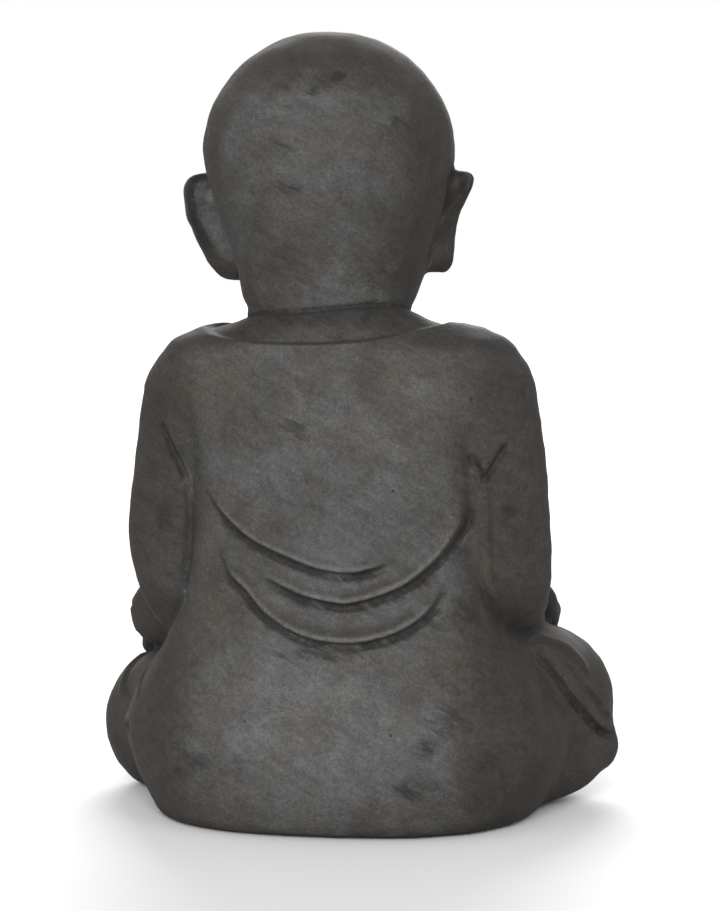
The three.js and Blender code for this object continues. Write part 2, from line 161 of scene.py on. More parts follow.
limbs = {
    "leftSleeve": {
        "path": [[17.6, 7, 52.6], [19.8, 7.6, 44], [20.9, 8, 36], [20.4, 6.8, 29.4], [20.6, 1.4, 25.6],
                 [24, -2.6, 24.4], [26.4, -5.4, 23.8]],
        "radii": [8.2, 7, 6.6, 6, 5, 4.6, 4.6],
        "blunt": 0.3,
    },
    "rightSleeve": {
        "path": [[-16.9, 7, 52.8], [-19.3, 7.6, 44], [-20.3, 8, 36], [-20.6, 6.8, 30.4], [-20.4, 1.4, 27.4],
                 [-20.6, -2.6, 26.8], [-20.6, -5.4, 26.6]],
        "radii": [8.2, 7, 6.6, 6.2, 5.3, 4.8, 4.7],
        "blunt": 0.3,
    },
    "leftThigh": {"path": [[10, 8, 12], [18, 0, 11], [24.8, -8.6, 8.7]], "radii": [11, 10.4, 10.2]},
    "rightThigh": {"path": [[-10, 8, 13], [-18.4, 0, 14.2], [-23.2, -8.6, 12.5]], "radii": [11, 11, 10.3]},
    "rightHem": {"path": [[-21, 2, 4.7], [-26.6, -4, 5.3], [-30.2, -9, 6.8]], "radii": [5, 4.6, 4]},
    "leftShin": {"path": [[23, -10.6, 8.6], [12, -19.4, 7.4], [-3, -21.6, 6.4]], "radii": [8.4, 7, 5]},
    "rightShin": {"path": [[-23, -10.6, 9.6], [-12, -18.6, 9], [5, -20, 8.6]], "radii": [8.8, 7.4, 5.6]},
    "foot": {"path": [[-8, -22, 2.8], [-1, -24.6, 2.6], [3.6, -25.6, 2.2]], "radii": [2.6, 2.8, 2.2]},
}
toes = {"first": (6.2, -25.2, 2), "step": (-1.7, -0.55, -0.12), "radii": [1.7, 1.25, 1.2, 1.1, 1]}
hands = {
    "pair": [
        {"side": 1, "wrist": (26.2, -6, 23.6), "knuckles": (26, -11.6, 21.6), "knee": "leftThigh"},
        {"side": -1, "wrist": (-20.9, -6, 27.2), "knuckles": (-21.3, -11.6, 25.9), "knee": "rightThigh"},
    ],
    "palmRadii": [[3.2, 3], [3.7, 2.6], [4.3, 1.9], [4.6, 1.1]],
    "palmTip": (0, -2.4, -1.6),  # from the knuckles, where the palm thins out between the fingers
    "pitch": 2.2,
    "fingerRadius": 1.45,
    "bends": [54, 64, 62, 52],
    "inturn": 0.5,
    "thumb": [[-1.8, -1.5, -0.2], [-3.9, 1.6, -0.6], [-4.3, -0.6, -1.8], [-4, -2.2, -3.4]],
    "thumbRadii": [1.6, 1.6, 1.4, 1.1],
    "fill": {"from": 0.3, "to": 0.9, "balls": 7, "share": 0.55},  # balls that fill a thumb's place
}
face = {
    "knobs": [
        {"place": (4.8, 79.4), "radii": (2.9, 1.3, 1.5), "sunk": 0.5, "soft": 0.35, "pair": True},
        {"place": (7.6, 73.2), "radii": (5, 2.6, 4.4), "sunk": 2.3, "soft": 3, "pair": True},
        {"place": (1.7, 75.7), "radii": (1.05, 1.1, 0.95), "sunk": -0.1, "soft": 0.5, "pair": True},
        {"place": (0, 68), "radii": (3.2, 2, 2.2), "sunk": 1.2, "soft": 1.8, "pair": False},
    ],
    "strokes": [
        {"line": [[0, 82, -0.5], [0, 78.8, 0.2], [0, 76.2, 0.8]], "radii": [1, 1.2, 1.6], "soft": 1.3,
         "pair": False},
        {"line": [[1.6, 82.9, -0.3], [4.8, 84, -0.15], [8.8, 82.4, -0.6]], "radii": [0.55, 0.75, 0.45],
         "soft": 1, "pair": True},
        {"line": [[-4.2, 72.3, -0.55], [-1.3, 72.75, 0.0], [0, 72.5, 0.05], [1.3, 72.75, 0.0],
                  [4.2, 72.3, -0.55]], "radii": [0.35, 0.7, 0.7, 0.7, 0.35], "soft": 0.6, "pair": False},
        {"line": [[-3.2, 71.5, -0.5], [0, 70.95, -0.05], [3.2, 71.5, -0.5]], "radii": [0.4, 0.9, 0.4],
         "soft": 0.6, "pair": False},
    ],
    "cuts": [  # x and z along each line, its depth and width
        {"line": [[2.2, 78.9], [4.8, 78.1], [7.7, 79.1]], "depth": 0.26, "width": 0.2, "pair": True},
        {"line": [[2.0, 80.3], [4.8, 81.2], [7.8, 80.3]], "depth": 0.16, "width": 0.25, "pair": True},
        {"line": [[-4.6, 72.5], [-2.2, 71.95], [0, 71.9], [2.2, 71.95], [4.6, 72.5]], "depth": 0.2,
         "width": 0.3, "pair": False},
        {"line": [[0, 73.5], [0, 74.8]], "depth": 0.12, "width": 0.4, "pair": False},
        {"line": [[-1.6, 69.9], [0, 69.5], [1.6, 69.9]], "depth": 0.16, "width": 0.7, "pair": False},
    ],
}

# Folds on the skirt over the knees, as points on the figure: the cloth steps up on the left of its run.
skirtFolds = [
    {"line": [[-23.6, 5.6, 22.5], [-25.1, 3.2, 22.3], [-26.5, 1.8, 21.7], [-27.7, 0.5, 21.1],
              [-29, -0.5, 19.9], [-30.1, -1.1, 18.2], [-31, -2, 16.4]], "rise": 0.5, "fade": 1.2,
     "groove": 0.7},
    {"line": [[-24.2, 6.3, 22.3], [-25.9, 5.9, 20], [-27.4, 5.4, 18.1], [-28.5, 4.7, 16.8],
              [-29.4, 3.8, 15.2], [-30.6, -0.3, 12.3], [-31.8, -3.5, 10.3], [-32.8, -6.4, 9],
              [-33.2, -10, 8.2]], "rise": 0.85, "fade": 1.5, "groove": 0.9},
    {"line": [[-28.6, 1.5, 19.4], [-29.2, 1.2, 18.5], [-30.2, 0.6, 17], [-31.1, -0.4, 15.3],
              [-31.9, -3.3, 13.3], [-32.6, -4.9, 11.7], [-33, -7, 11]], "rise": 0.4, "fade": 1.2,
     "groove": 0.8},
    {"line": [[-24.6, 6.6, 20.6], [-25.9, 6.6, 19], [-27, 6.3, 17.2], [-28, 5.8, 14.5],
              [-28.8, 4.8, 11.8]], "rise": 0.3, "fade": 1.4, "groove": 0.5},
    {"line": [[26.5, 13.1, 9.9], [27.4, 10.8, 11.6], [29.6, 2.6, 12.4], [31, -1.2, 13.4],
              [31.4, -4.1, 15.1], [30.6, -5.9, 16.7], [29.8, -6.7, 17.6], [29, -8.6, 18.4]], "rise": 0.4,
     "fade": 1.6, "groove": 0.8},
    {"line": [[24.9, 14.7, 14.6], [25.4, 11.1, 16.7], [25.3, 8, 18.1], [26.6, -2.3, 18.8]], "rise": 0.25,
     "fade": 1.4, "groove": 0.6},
]

# Creases between the arms and the body: points on the figure, depth, width and the ridge on one side.
creases = [
    {"line": [[22.2, 13.9, 50.4], [21.5, 14.3, 49.1], [20.6, 14.5, 47.2], [19.8, 14.7, 45.4]],
     "depth": 0.75, "width": 0.42, "ridge": 0.5},
    {"line": [[20.4, 14.6, 47], [19.7, 14.6, 45.6], [19, 14.6, 44.2], [18.5, 14.4, 42.6]],
     "depth": 0.5, "width": 0.34, "ridge": -0.3},
    {"line": [[18.8, 14.5, 43.8], [18.2, 14.3, 39.7], [18.2, 14.3, 36.8], [18.3, 14.1, 34.3],
              [18.8, 13.7, 30.5], [19.1, 14.2, 27], [20.4, 13, 24.7]], "depth": 0.24, "width": 0.4,
     "ridge": 0.08},
    {"line": [[-22.4, 13.8, 48.4], [-21.2, 14.3, 46.2], [-20, 14.6, 44.3], [-19.2, 14.6, 42.8]],
     "depth": 0.6, "width": 0.4, "ridge": -0.35},
    {"line": [[-17.2, 14.6, 47], [-18.2, 14.6, 45.2], [-19, 14.6, 44], [-19.5, 14.6, 42.6]],
     "depth": 0.5, "width": 0.36, "ridge": 0.25},
    {"line": [[-19.3, 14.6, 43.8], [-19.6, 14.6, 40.9], [-19.8, 14.6, 36], [-20, 14.1, 31.9],
              [-20.3, 13.5, 29]], "depth": 0.24, "width": 0.4, "ridge": 0.08},
]
lapFolds = {
    "lines": [
        [[24, -17.4, 13], [12.6, -25, 12], [0, -26.2, 9.4]],
        [[22, -18.4, 7.4], [11, -26, 6.4], [-1, -26.6, 5]],
        [[-23, -18, 14.6], [-12, -25, 13], [3, -24.8, 11]],
    ],
    "radius": 0.9,
}


def loftTable(sections):
    table = smoothRow(sections, np.linspace(0, 1, 700))
    table[:, 0] = np.maximum.accumulate(table[:, 0])
    return table


def loftDistance(p, table):  # distance from a loft's skin, minus inside it
    z = np.clip(p[:, 2], table[0, 0], table[-1, 0])
    low = [np.interp(z - 0.12, table[:, 0], table[:, k]) for k in range(1, 6)]
    high = [np.interp(z + 0.12, table[:, 0], table[:, k]) for k in range(1, 6)]
    centreX, centreY, halfWidth, forward, back = [(a + b) / 2 for a, b in zip(low, high)]
    changeX, changeY, changeWidth, changeForward, changeBack = [(b - a) / 0.24 for a, b in zip(low, high)]
    n = np.interp(z, table[:, 0], table[:, 6])
    x, y = p[:, 0] - centreX, p[:, 1] - centreY
    front = y < 0
    depth = np.maximum(np.where(front, forward, back), 1e-3)
    halfWidth = np.maximum(halfWidth, 1e-3)
    changeDepth = np.where(front, changeForward, changeBack)
    u, v = np.abs(x) / halfWidth, np.abs(y) / depth
    g = np.maximum((u**n + v**n) ** (1 / n), 1e-4)
    rho = np.maximum(np.hypot(x, y), 1e-6)
    gradX = (u / g) ** (n - 1) / halfWidth * np.sign(x)
    gradY = (v / g) ** (n - 1) / depth * np.sign(y)
    gradZ = -(gradX * (changeX + x / halfWidth * changeWidth) + gradY * (changeY + y / depth * changeDepth))
    steep = np.sqrt(gradX**2 + gradY**2 + gradZ**2)
    radial = rho * (1 - 1 / g)
    near = (g - 1) / np.maximum(steep, 1e-6)
    d = np.where(np.abs(near) < np.abs(radial), near, radial)
    past = np.maximum(p[:, 2] - table[-1, 0], 0) + np.maximum(table[0, 0] - p[:, 2], 0)
    return np.where(past > 0, np.hypot(np.maximum(d, 0), past), d)


def crownDistance(p):  # distance from the top of the head, whose sections keep one shape as they shrink
    table = skullTable[skullTable[:, 0] > 84][::6]
    table = np.vstack([table, [100, 0, 0, 0, 0, 0, 2]])
    x, y = p[:, 0] - table[0, 1], p[:, 1] - table[0, 2]
    depth = np.where(y < 0, table[0, 4], table[0, 5])
    reach = np.maximum(np.hypot(x / table[0, 3], y / depth), 1e-6)
    rho = np.maximum(np.hypot(x, y), 1e-6)
    wide = rho / reach
    shrink = table[:, 3] / table[0, 3]
    best = np.full(len(p), 1e9)
    for k in range(len(table) - 1):
        r, z = wide * shrink[k], table[k, 0]
        runR, runZ = wide * (shrink[k + 1] - shrink[k]), table[k + 1, 0] - z
        t = np.clip(((rho - r) * runR + (p[:, 2] - z) * runZ) / (runR**2 + runZ**2), 0, 1)
        best = np.minimum(best, np.hypot(rho - r - t * runR, p[:, 2] - z - t * runZ))
    inside = (rho < wide * np.interp(p[:, 2], table[:, 0], shrink)) & (p[:, 2] < 100)
    return np.where(inside, -best, best)


def skin(table, x, z, side):  # where a loft's skin lies: side 1 behind, side -1 in front
    values = [np.interp(z, table[:, 0], table[:, k]) for k in range(1, 7)]
    centreX, centreY, halfWidth, forward, back, n = values
    across = min(abs((x - centreX) / halfWidth), 0.985)
    depth = (back if side > 0 else forward) * (1 - across**n) ** (1 / n)
    return np.array([x, centreY + side * depth, z])


def skinNormal(table, x, z, side):
    acrossStep = skin(table, x + 0.4, z, side) - skin(table, x - 0.4, z, side)
    upStep = skin(table, x, z + 0.4, side) - skin(table, x, z - 0.4, side)
    return unit(np.cross(acrossStep, upStep)) * -side


def limbTable(form, facing=(0, 0, 1)):
    path = np.asarray(form["path"], float)
    length = np.linalg.norm(np.diff(path, axis=0), axis=1).sum()
    t = np.linspace(0, 1, max(6, int(length / 1.1)))
    radii = [r if isinstance(r, (list, tuple)) else [r, r] for r in form["radii"]]
    centre = smoothRow(path, t)
    tangent = unit(np.gradient(centre, axis=0))
    outward = np.asarray(facing, float) - (tangent @ np.asarray(facing, float))[:, None] * tangent
    outward = unit(outward)
    size = smoothRow(radii, t)
    reach = size.max() + 3
    return {
        "centre": centre, "size": size, "tangent": tangent, "outward": outward,
        "across": np.cross(outward, tangent), "round": all(a == b for a, b in radii),
        "low": centre.min(axis=0) - reach, "high": centre.max(axis=0) + reach, "blunt": form.get("blunt"),
    }


def limbDistance(p, limb):
    d = np.full(len(p), 40.0)
    inside = np.all((p > limb["low"]) & (p < limb["high"]), axis=1)
    if not inside.any():
        return d
    q = p[inside]
    best = np.full(len(q), 1e9)
    centre, size = limb["centre"], limb["size"]
    for k in range(len(centre) - 1):
        run = centre[k + 1] - centre[k]
        t = np.clip((q - centre[k]) @ run / (run @ run), 0, 1)
        offset = q - centre[k] - t[:, None] * run
        radius = size[k] * (1 - t[:, None]) + size[k + 1] * t[:, None]
        if limb["round"]:
            found = np.linalg.norm(offset, axis=1) - radius[:, 0]
        else:
            small = radius.min(axis=1)
            along = offset @ limb["tangent"][k] / small
            wide = offset @ limb["across"][k] / radius[:, 0]
            thick = offset @ limb["outward"][k] / radius[:, 1]
            found = (np.sqrt(along**2 + wide**2 + thick**2) - 1) * small
        best = np.minimum(best, found)
    if limb["blunt"]:
        end = centre[-1] + limb["tangent"][-1] * limb["blunt"] * size[-1].min()
        best = cutForm(best, (q - end) @ limb["tangent"][-1], 0.3)
    d[inside] = best
    return d


def knobDistance(p, centre, radii):
    q = p - np.asarray(centre, float)
    radii = np.asarray(radii, float)
    k0 = np.linalg.norm(q / radii, axis=1)
    k1 = np.linalg.norm(q / radii**2, axis=1)
    return k0 * (k0 - 1) / np.maximum(k1, 1e-6)


def lineDistance(points, line):  # nearest distance, share along and signed side of a line in a plane
    best = np.full(len(points), 1e9)
    along = np.zeros(len(points))
    side = np.zeros(len(points))
    last = len(line) - 1
    for k in range(last):
        run = line[k + 1] - line[k]
        offset = points - line[k]
        t = np.clip(offset @ run / (run @ run), 0, 1)
        gap = offset - t[:, None] * run
        d = np.linalg.norm(gap, axis=1)
        closer = d < best
        best = np.where(closer, d, best)
        along = np.where(closer, (k + t) / last, along)
        side = np.where(closer, run[0] * offset[:, 1] - run[1] * offset[:, 0], side)
    return best, along, side


def foldRise(points, line, rise, fade):  # a lap of cloth that ends along its lower edge
    curve = smoothRow(line, np.linspace(0, 1, 40))
    low, high = curve.min(axis=0) - 9, curve.max(axis=0) + 9
    inside = np.all((points > low) & (points < high), axis=1)
    found = np.zeros(len(points))
    if not inside.any():
        return found
    d, along, side = lineDistance(points[inside], curve)
    above = d * np.sign(side) * np.sign(curve[-1, 0] - curve[0, 0])
    strength = tapered(along, 0.16)
    roll = np.exp(-(((above - 0.75) / 0.85) ** 2))
    lap = ramp(above, -0.15, 0.5) * (0.6 * np.exp(-np.maximum(above, 0) / fade) + 0.5 * roll)
    groove = np.exp(-(((above + 0.35) / 0.36) ** 2))
    groove += 0.35 * ramp(-above, -0.1, 0.5) * np.exp(np.minimum(above, 0) / 1.6)
    found[inside] = strength * rise * (lap - 0.42 * groove)
    return found


def earTable(side):
    rim = np.asarray(ears["rims"][side] + ears["rims"][side][:1], float)
    closed = np.vstack([rim[-2], rim, rim[1]])
    n = len(ears["rims"][side])
    t = (1 + np.linspace(0, n, 61)) / (n + 2)
    outline = smoothRow(closed, t)
    flare = radians(ears["flare"])
    out = np.array([side * np.cos(flare), np.sin(flare), 0])
    root = np.array([skull["middle"] + side * ears["root"][0], ears["root"][1], ears["root"][2]])
    facing = np.array([side * np.sin(flare), -np.cos(flare), 0])
    slant = radians(ears["backSlant"])
    behind = np.array([-side * np.sin(slant), np.cos(slant), 0])
    return {"outline": outline, "out": out, "root": root, "facing": facing, "behind": behind}


def rimDistance(q, ear):  # how far outside the ear's outline, minus inside it
    flat = np.stack([q @ ear["out"], q[:, 2]], axis=1)
    outline = ear["outline"]
    edge = np.full(len(flat), 1e9)
    inside = np.zeros(len(flat), bool)
    for k in range(len(outline) - 1):
        a, b = outline[k], outline[k + 1]
        run = b - a
        offset = flat - a
        t = np.clip(offset @ run / max(run @ run, 1e-9), 0, 1)
        edge = np.minimum(edge, np.linalg.norm(offset - t[:, None] * run, axis=1))
        crosses = (a[1] > flat[:, 1]) != (b[1] > flat[:, 1])
        where = a[0] + (flat[:, 1] - a[1]) * run[0] / (run[1] if abs(run[1]) > 1e-9 else 1e-9)
        inside ^= crosses & (flat[:, 0] < where)
    return np.where(inside, -edge, edge)


def earDistance(p, ear):
    d = np.full(len(p), 40.0)
    near = np.linalg.norm(p - ear["root"], axis=1) < 14
    q = p[near] - ear["root"]
    edge = rimDistance(q, ear) - 0.25
    depth = q @ ear["facing"]
    rise = 0.35 * np.exp(-(((edge + 0.8) / 0.6) ** 2)) - 0.75 * ramp(-edge, 1.3, 2.4)
    front = depth - ears["halfThickness"] - rise
    tip = ear["out"] * ears["tipOut"] - ear["facing"] * ears["halfThickness"]
    back = joinForms((q - tip) @ ear["behind"], -depth - ears["halfThickness"], 0.8)
    d[near] = cutForm(edge, cutForm(front, back, 0.5), 0.8)
    return d


robeTable = loftTable(robe["sections"])
skullTable = loftTable(skull["sections"])
earPair = [earTable(1), earTable(-1)]
limbTables = {}
for name, form in limbs.items():
    limbTables[name] = limbTable(form, (1, 0, 0) if "Sleeve" in name else (0, 0, 1))


def onFace(x, z, rise):
    x += skull["middle"]
    return skin(skullTable, x, z, -1) + skinNormal(skullTable, x, z, -1) * rise


def thumbPath(hand):
    starts = [hand["wrist"]] + [hand["knuckles"]] * (len(hands["thumb"]) - 1)
    steps = np.array(hands["thumb"]) * [hand["side"], 1, 1]
    return [np.array(start) + step for start, step in zip(starts, steps)]


def fingerTables(hand):
    thigh = limbs[hand["knee"]]
    middle, radius = thigh["path"][-1], thigh["radii"][-1]
    rows = []
    for k, reach in enumerate(hands["bends"]):
        start = hand["knuckles"][0] + hand["side"] * (1.5 - k) * hands["pitch"]
        root = start * 0.7 + hand["knuckles"][0] * 0.3
        path = [[root, hand["knuckles"][1] + 2.4, hand["knuckles"][2] + 0.3]]
        for row, bend in enumerate((12, 12 + (reach - 12) / 2, reach)):
            x = start - hand["side"] * hands["inturn"] * row
            over = sqrt(radius**2 - (x - middle[0]) ** 2) + hands["fingerRadius"] * 0.7
            turn = radians(bend)
            path.append([x, middle[1] - over * np.sin(turn), middle[2] + over * np.cos(turn)])
        radii = [hands["fingerRadius"] * r for r in (1, 1, 1, 0.8)]
        rows.append(limbTable({"path": path, "radii": radii}, (1, 0, 0)))
    wrist = hand["wrist"]
    rows.append(limbTable({"path": thumbPath(hand), "radii": hands["thumbRadii"]}, (1, 0, 0)))
    palmTip = [at + step for at, step in zip(hand["knuckles"], hands["palmTip"])]
    palm = [[wrist[0], wrist[1] + 1.5, wrist[2]], wrist, hand["knuckles"], palmTip]
    return limbTable({"path": palm, "radii": hands["palmRadii"]}), rows


handTables = [fingerTables(hand) for hand in hands["pair"]]
faceStrokes = []
faceKnobs = []
for stroke in face["strokes"]:
    for side in (1, -1) if stroke["pair"] else (1,):
        path = [onFace(side * x, z, rise) for x, z, rise in stroke["line"]]
        table = limbTable({"path": path, "radii": stroke["radii"]}, (0, -1, 0.01))
        faceStrokes.append((table, stroke["soft"]))
for knob in face["knobs"]:
    for side in (1, -1) if knob["pair"] else (1,):
        x, z = knob["place"]
        faceKnobs.append((onFace(side * x, z, -knob["sunk"]), knob["radii"], knob["soft"]))
lapTables = []
for line in lapFolds["lines"]:
    lapTables.append(limbTable({"path": line, "radii": [lapFolds["radius"]] * len(line)}))


# Of the points near a line in space: which they are, how far off and how far along they lie, beside
# which stretch of it, and the offset from it.
def alongLine(p, line, reach):
    low, high = line.min(axis=0) - reach, line.max(axis=0) + reach
    near = np.where(np.all((p > low) & (p < high), axis=1))[0]
    q = p[near]
    best = np.full(len(q), 1e9)
    along, which = np.zeros(len(q)), np.zeros(len(q), int)
    offset = np.zeros_like(q)
    for k in range(len(line) - 1):
        run = line[k + 1] - line[k]
        t = np.clip((q - line[k]) @ run / (run @ run), 0, 1)
        gap = q - line[k] - t[:, None] * run
        d = np.linalg.norm(gap, axis=1)
        closer = d < best
        best[closer] = d[closer]
        along[closer] = (k + t[closer]) / (len(line) - 1)
        which[closer] = k
        offset[closer] = gap[closer]
    return near, best, along, which, offset


def spaceLine(points):
    line = smoothRow(points, np.linspace(0, 1, 4 * len(points)))
    return line, unit(np.vstack([np.diff(line, axis=0), line[-1:] - line[-2:-1]]))


def lineRelief(p):  # steps over the knees and creases beside the arms
    total = np.zeros(len(p))
    for fold, (line, run, normal) in zip(skirtFolds, skirtLines):
        near, d, along, which, offset = alongLine(p, line, 4.5)
        side = np.einsum("ij,ij->i", offset, np.cross(normal[which], run[which]))
        lift = np.abs(np.einsum("ij,ij->i", offset, normal[which]))
        strength = tapered(along, 0.15) * ramp(3.4 - lift, 0, 1.4) * ramp(4.4 - d, 0, 1.5)
        lap = ramp(side, -0.15, 0.3) * np.exp(-np.maximum(side, 0) / fold["fade"])
        groove = np.exp(-(((side + 0.4) / 0.4) ** 2))
        total[near] += strength * fold["rise"] * (lap - fold["groove"] * groove)
    for crease, (line, run, normal) in zip(creases, creaseLines):
        near, d, along, which, offset = alongLine(p, line, 3.5)
        side = np.einsum("ij,ij->i", offset, np.cross(normal[which], run[which]))
        strength = tapered(along, 0.2) * ramp(3.2 - d, 0, 1)
        ridge = crease["ridge"] * np.exp(-(((side - 1.1 * np.sign(crease["ridge"])) / 0.7) ** 2))
        total[near] += strength * (np.abs(ridge) - crease["depth"] * np.exp(-((side / crease["width"]) ** 2)))
    return total


def insideOpening(p):  # how far inside the robe's edge round the neck and down the chest, minus outside it
    x, y, z = p[:, 0], p[:, 1], p[:, 2]
    line = np.array(robe["neckline"])
    behind = z - np.interp(x, line[:, 0], line[:, 1])
    edges = np.array(robe["edges"])
    wider = 5.2 * ramp(y, -3, 6)
    left = x - (np.interp(z, edges[:, 0], edges[:, 1]) - wider)
    right = np.interp(z, edges[:, 0], edges[:, 2]) + wider - x
    ahead = np.minimum(np.minimum(left, right) * 0.8, z - 44)
    blend = ramp(y, 3, 8)
    return ahead * (1 - blend) + behind * blend


def robeRelief(p):  # how far folds and edges stand out of the robe
    total = np.zeros(len(p))
    flat = p[:, (0, 2)]
    behind = ramp(p[:, 1], 6, 9)
    for fold in robe["backFolds"]:
        total += behind * foldRise(flat, np.array(fold["line"]), fold["rise"], fold["fade"])
    ahead = ramp(-p[:, 1], -4, -1)
    for fold in robe["frontFolds"]:
        total += ahead * foldRise(flat, np.array(fold["line"]), fold["rise"], fold["fade"])
    open = insideOpening(p)
    ahead = ramp(-p[:, 1], -6, 0)
    band = ramp(-open, -0.1, 0.15) * ramp(robe["collarWidth"] + open, -0.1, 0.22)
    seam = np.exp(-(((open + robe["collarWidth"] - 0.5) / 0.13) ** 2))
    front = p[:, 1] < 2
    if front.any():
        curve = smoothRow(np.array(robe["lapLine"]), np.linspace(0, 1, 30))
        d, along, side = lineDistance(flat[front], curve)
        half = robe["collarWidth"] / 2
        lap = ramp(half - d, -0.1, 0.22) * ramp(along, 0.0, 0.06)
        height = flat[front][:, 1]
        stitch = np.exp(-(((d - half + 0.5) / 0.13) ** 2)) * lap
        band[front] = np.maximum(band[front] * ramp(height, 44, 46), lap)
        seam[front] = np.maximum(seam[front] * ramp(height, 46, 48), stitch)
    total += ahead * (robe["collarRise"] * band - 0.1 * seam)
    return total


def faceCuts(p):
    total = np.zeros(len(p))
    near = (p[:, 1] < -6) & (p[:, 2] > 66) & (p[:, 2] < 86)
    flat = p[near][:, (0, 2)] - np.array([skull["middle"], 0])
    for cut in face["cuts"]:
        for side in (1, -1) if cut["pair"] else (1,):
            curve = smoothRow(np.array(cut["line"]) * [side, 1], np.linspace(0, 1, 14))
            d, along, _ = lineDistance(flat, curve)
            strength = 0.35 + 0.65 * ramp(along, 0, 0.25) * ramp(1 - along, 0, 0.25)
            total[near] += cut["depth"] * strength * np.exp(-((d / cut["width"]) ** 2))
    return total


# The length and height of each wave in the skin's unevenness.
waveSizes = [(11, 0.03), (8, 0.03), (6, 0.025), (4.4, 0.025), (3.3, 0.022), (2.5, 0.016), (1.9, 0.013)]
turnAround = 6.28
draw = np.random.default_rng(7)
waves = []
for length, height in waveSizes:
    way = unit(draw.normal(size=3)) * turnAround / length
    waves.append((way, draw.uniform(0, turnAround), height))


def neckGap(p):  # how far from the line where the neck meets the band inside the robe's edge
    gap = np.full(len(p), 9.0)
    near = (p[:, 2] > 60) & (p[:, 2] < 67) & (p[:, 1] > -2)
    if near.any():
        band = loftDistance(p[near], robeTable) + robe["clothStep"]
        gap[near] = np.maximum(np.abs(loftDistance(p[near], skullTable)), np.abs(band))
        gap[near] += 2 * ramp(4 - p[near][:, 1], 0, 5)
    return gap


def uneven(p):  # the slight unevenness of a hand-made cast
    return sum(height * np.sin(p @ way + phase) for way, phase, height in waves)


# How softly each form runs into those before it.
blends = {
    "armpit": 0.9,
    "shoulder": 3.6,
    "leftThigh": 0.9,
    "rightThigh": 1.1,
    "rightHem": 1.6,
    "shins": 0.8,
    "lapFolds": 0.9,
    "legs": 1.2,
    "toes": 0.35,
    "feet": 0.4,
    "ears": 0.6,
    "neck": 0.2,
    "fingers": 0.5,
    "knuckles": 1.7,
    "hands": 0.25,
    "underside": 0.5,
}


def figureDistance(p, detailed=True):  # distance from the whole figure's skin
    d = loftDistance(p, robeTable)
    shoulder = blends["armpit"] + blends["shoulder"] * ramp(p[:, 2], 47, 57)
    d = joinForms(d, limbDistance(p, limbTables["leftSleeve"]), shoulder)
    d = joinForms(d, limbDistance(p, limbTables["rightSleeve"]), shoulder)
    d = d - robeRelief(p)
    d = d + robe["clothStep"] * ramp(insideOpening(p), -0.08, 0.16)
    for name in ("leftThigh", "rightThigh", "rightHem"):
        d = joinForms(d, limbDistance(p, limbTables[name]), blends[name])
    if detailed:
        d = d - lineRelief(p)
    shins = [limbDistance(p, limbTables[name]) for name in ("leftShin", "rightShin")]
    legs = joinForms(shins[0], shins[1], blends["shins"])
    for table in lapTables:
        legs = joinForms(legs, limbDistance(p, table), blends["lapFolds"])
    d = joinForms(d, legs, blends["legs"])
    feet = limbDistance(p, limbTables["foot"])
    for k, radius in enumerate(toes["radii"]):
        place = np.array(toes["first"]) + np.array(toes["step"]) * k
        toe = knobDistance(p, place, (radius, radius * 1.15, radius * 0.95))
        feet = joinForms(feet, toe, blends["toes"])
    d = joinForms(d, feet, blends["feet"])
    head = loftDistance(p, skullTable)
    high = p[:, 2] > 86
    if high.any():
        crowned = ramp(p[high, 2], 86, 88)
        head[high] = head[high] * (1 - crowned) + crownDistance(p[high]) * crowned
    for centre, radii, soft in faceKnobs:
        head = joinForms(head, knobDistance(p, centre, radii), soft)
    for table, soft in faceStrokes:
        head = joinForms(head, limbDistance(p, table), soft)
    head = head + faceCuts(p)
    for ear in earPair:
        head = joinForms(head, earDistance(p, ear), blends["ears"])
    d = joinForms(d, head, blends["neck"]) + 0.2 * np.exp(-((neckGap(p) / 0.25) ** 2))
    d = d + uneven(p)
    for palm, fingers in handTables:
        hand = limbDistance(p, palm)
        rows = limbDistance(p, fingers[0])
        for finger in fingers[1:]:
            rows = joinForms(rows, limbDistance(p, finger), blends["fingers"])
        hand = joinForms(hand, rows, blends["knuckles"])
        d = joinForms(d, hand, blends["hands"])
    return cutForm(d, -p[:, 2], blends["underside"])


# The corners of the small tetrahedron round a point, from which slopes are read.
corners = np.array([[1, -1, -1], [-1, -1, 1], [-1, 1, -1], [1, 1, 1]], float)


def slopes(p, detailed):  # which way is out
    steps = corners * 0.05
    return unit(sum(figureDistance(p + step, detailed)[:, None] * step for step in steps))


def featureLines(forms):  # each form's line in space, its run and which way is out beside it
    found = []
    for form in forms:
        line, run = spaceLine(form["line"])
        found.append((line, run, slopes(line, False)))
    return found


skirtLines = featureLines(skirtFolds)
creaseLines = featureLines(creases)


def onSkin(p, rounds, reach):  # moves points on to the figure's skin
    h = 0.04
    steps = corners * h
    p = p.copy()
    for _ in range(rounds):
        values = [figureDistance(p + step) for step in steps]
        slope = sum(value[:, None] * step for value, step in zip(values, steps)) / (4 * h * h)
        middle = sum(values) / 4
        size = np.maximum(np.linalg.norm(slope, axis=1), 0.35)
        move = np.clip(-middle / size, -reach, reach)
        p += (slope / size[:, None]) * move[:, None]
    p[:, 2] = np.maximum(p[:, 2], 0)
    return p


crown = max(figureNode.data.vertices, key=lambda v: v.co.z).co
shift = np.array([crown.x / share - 2.55, crown.y / share - 1.4, 0])


def linkPiece(name, mesh):
    piece = bpy.data.objects.new(name, mesh)
    bpy.context.scene.collection.objects.link(piece)
    return piece


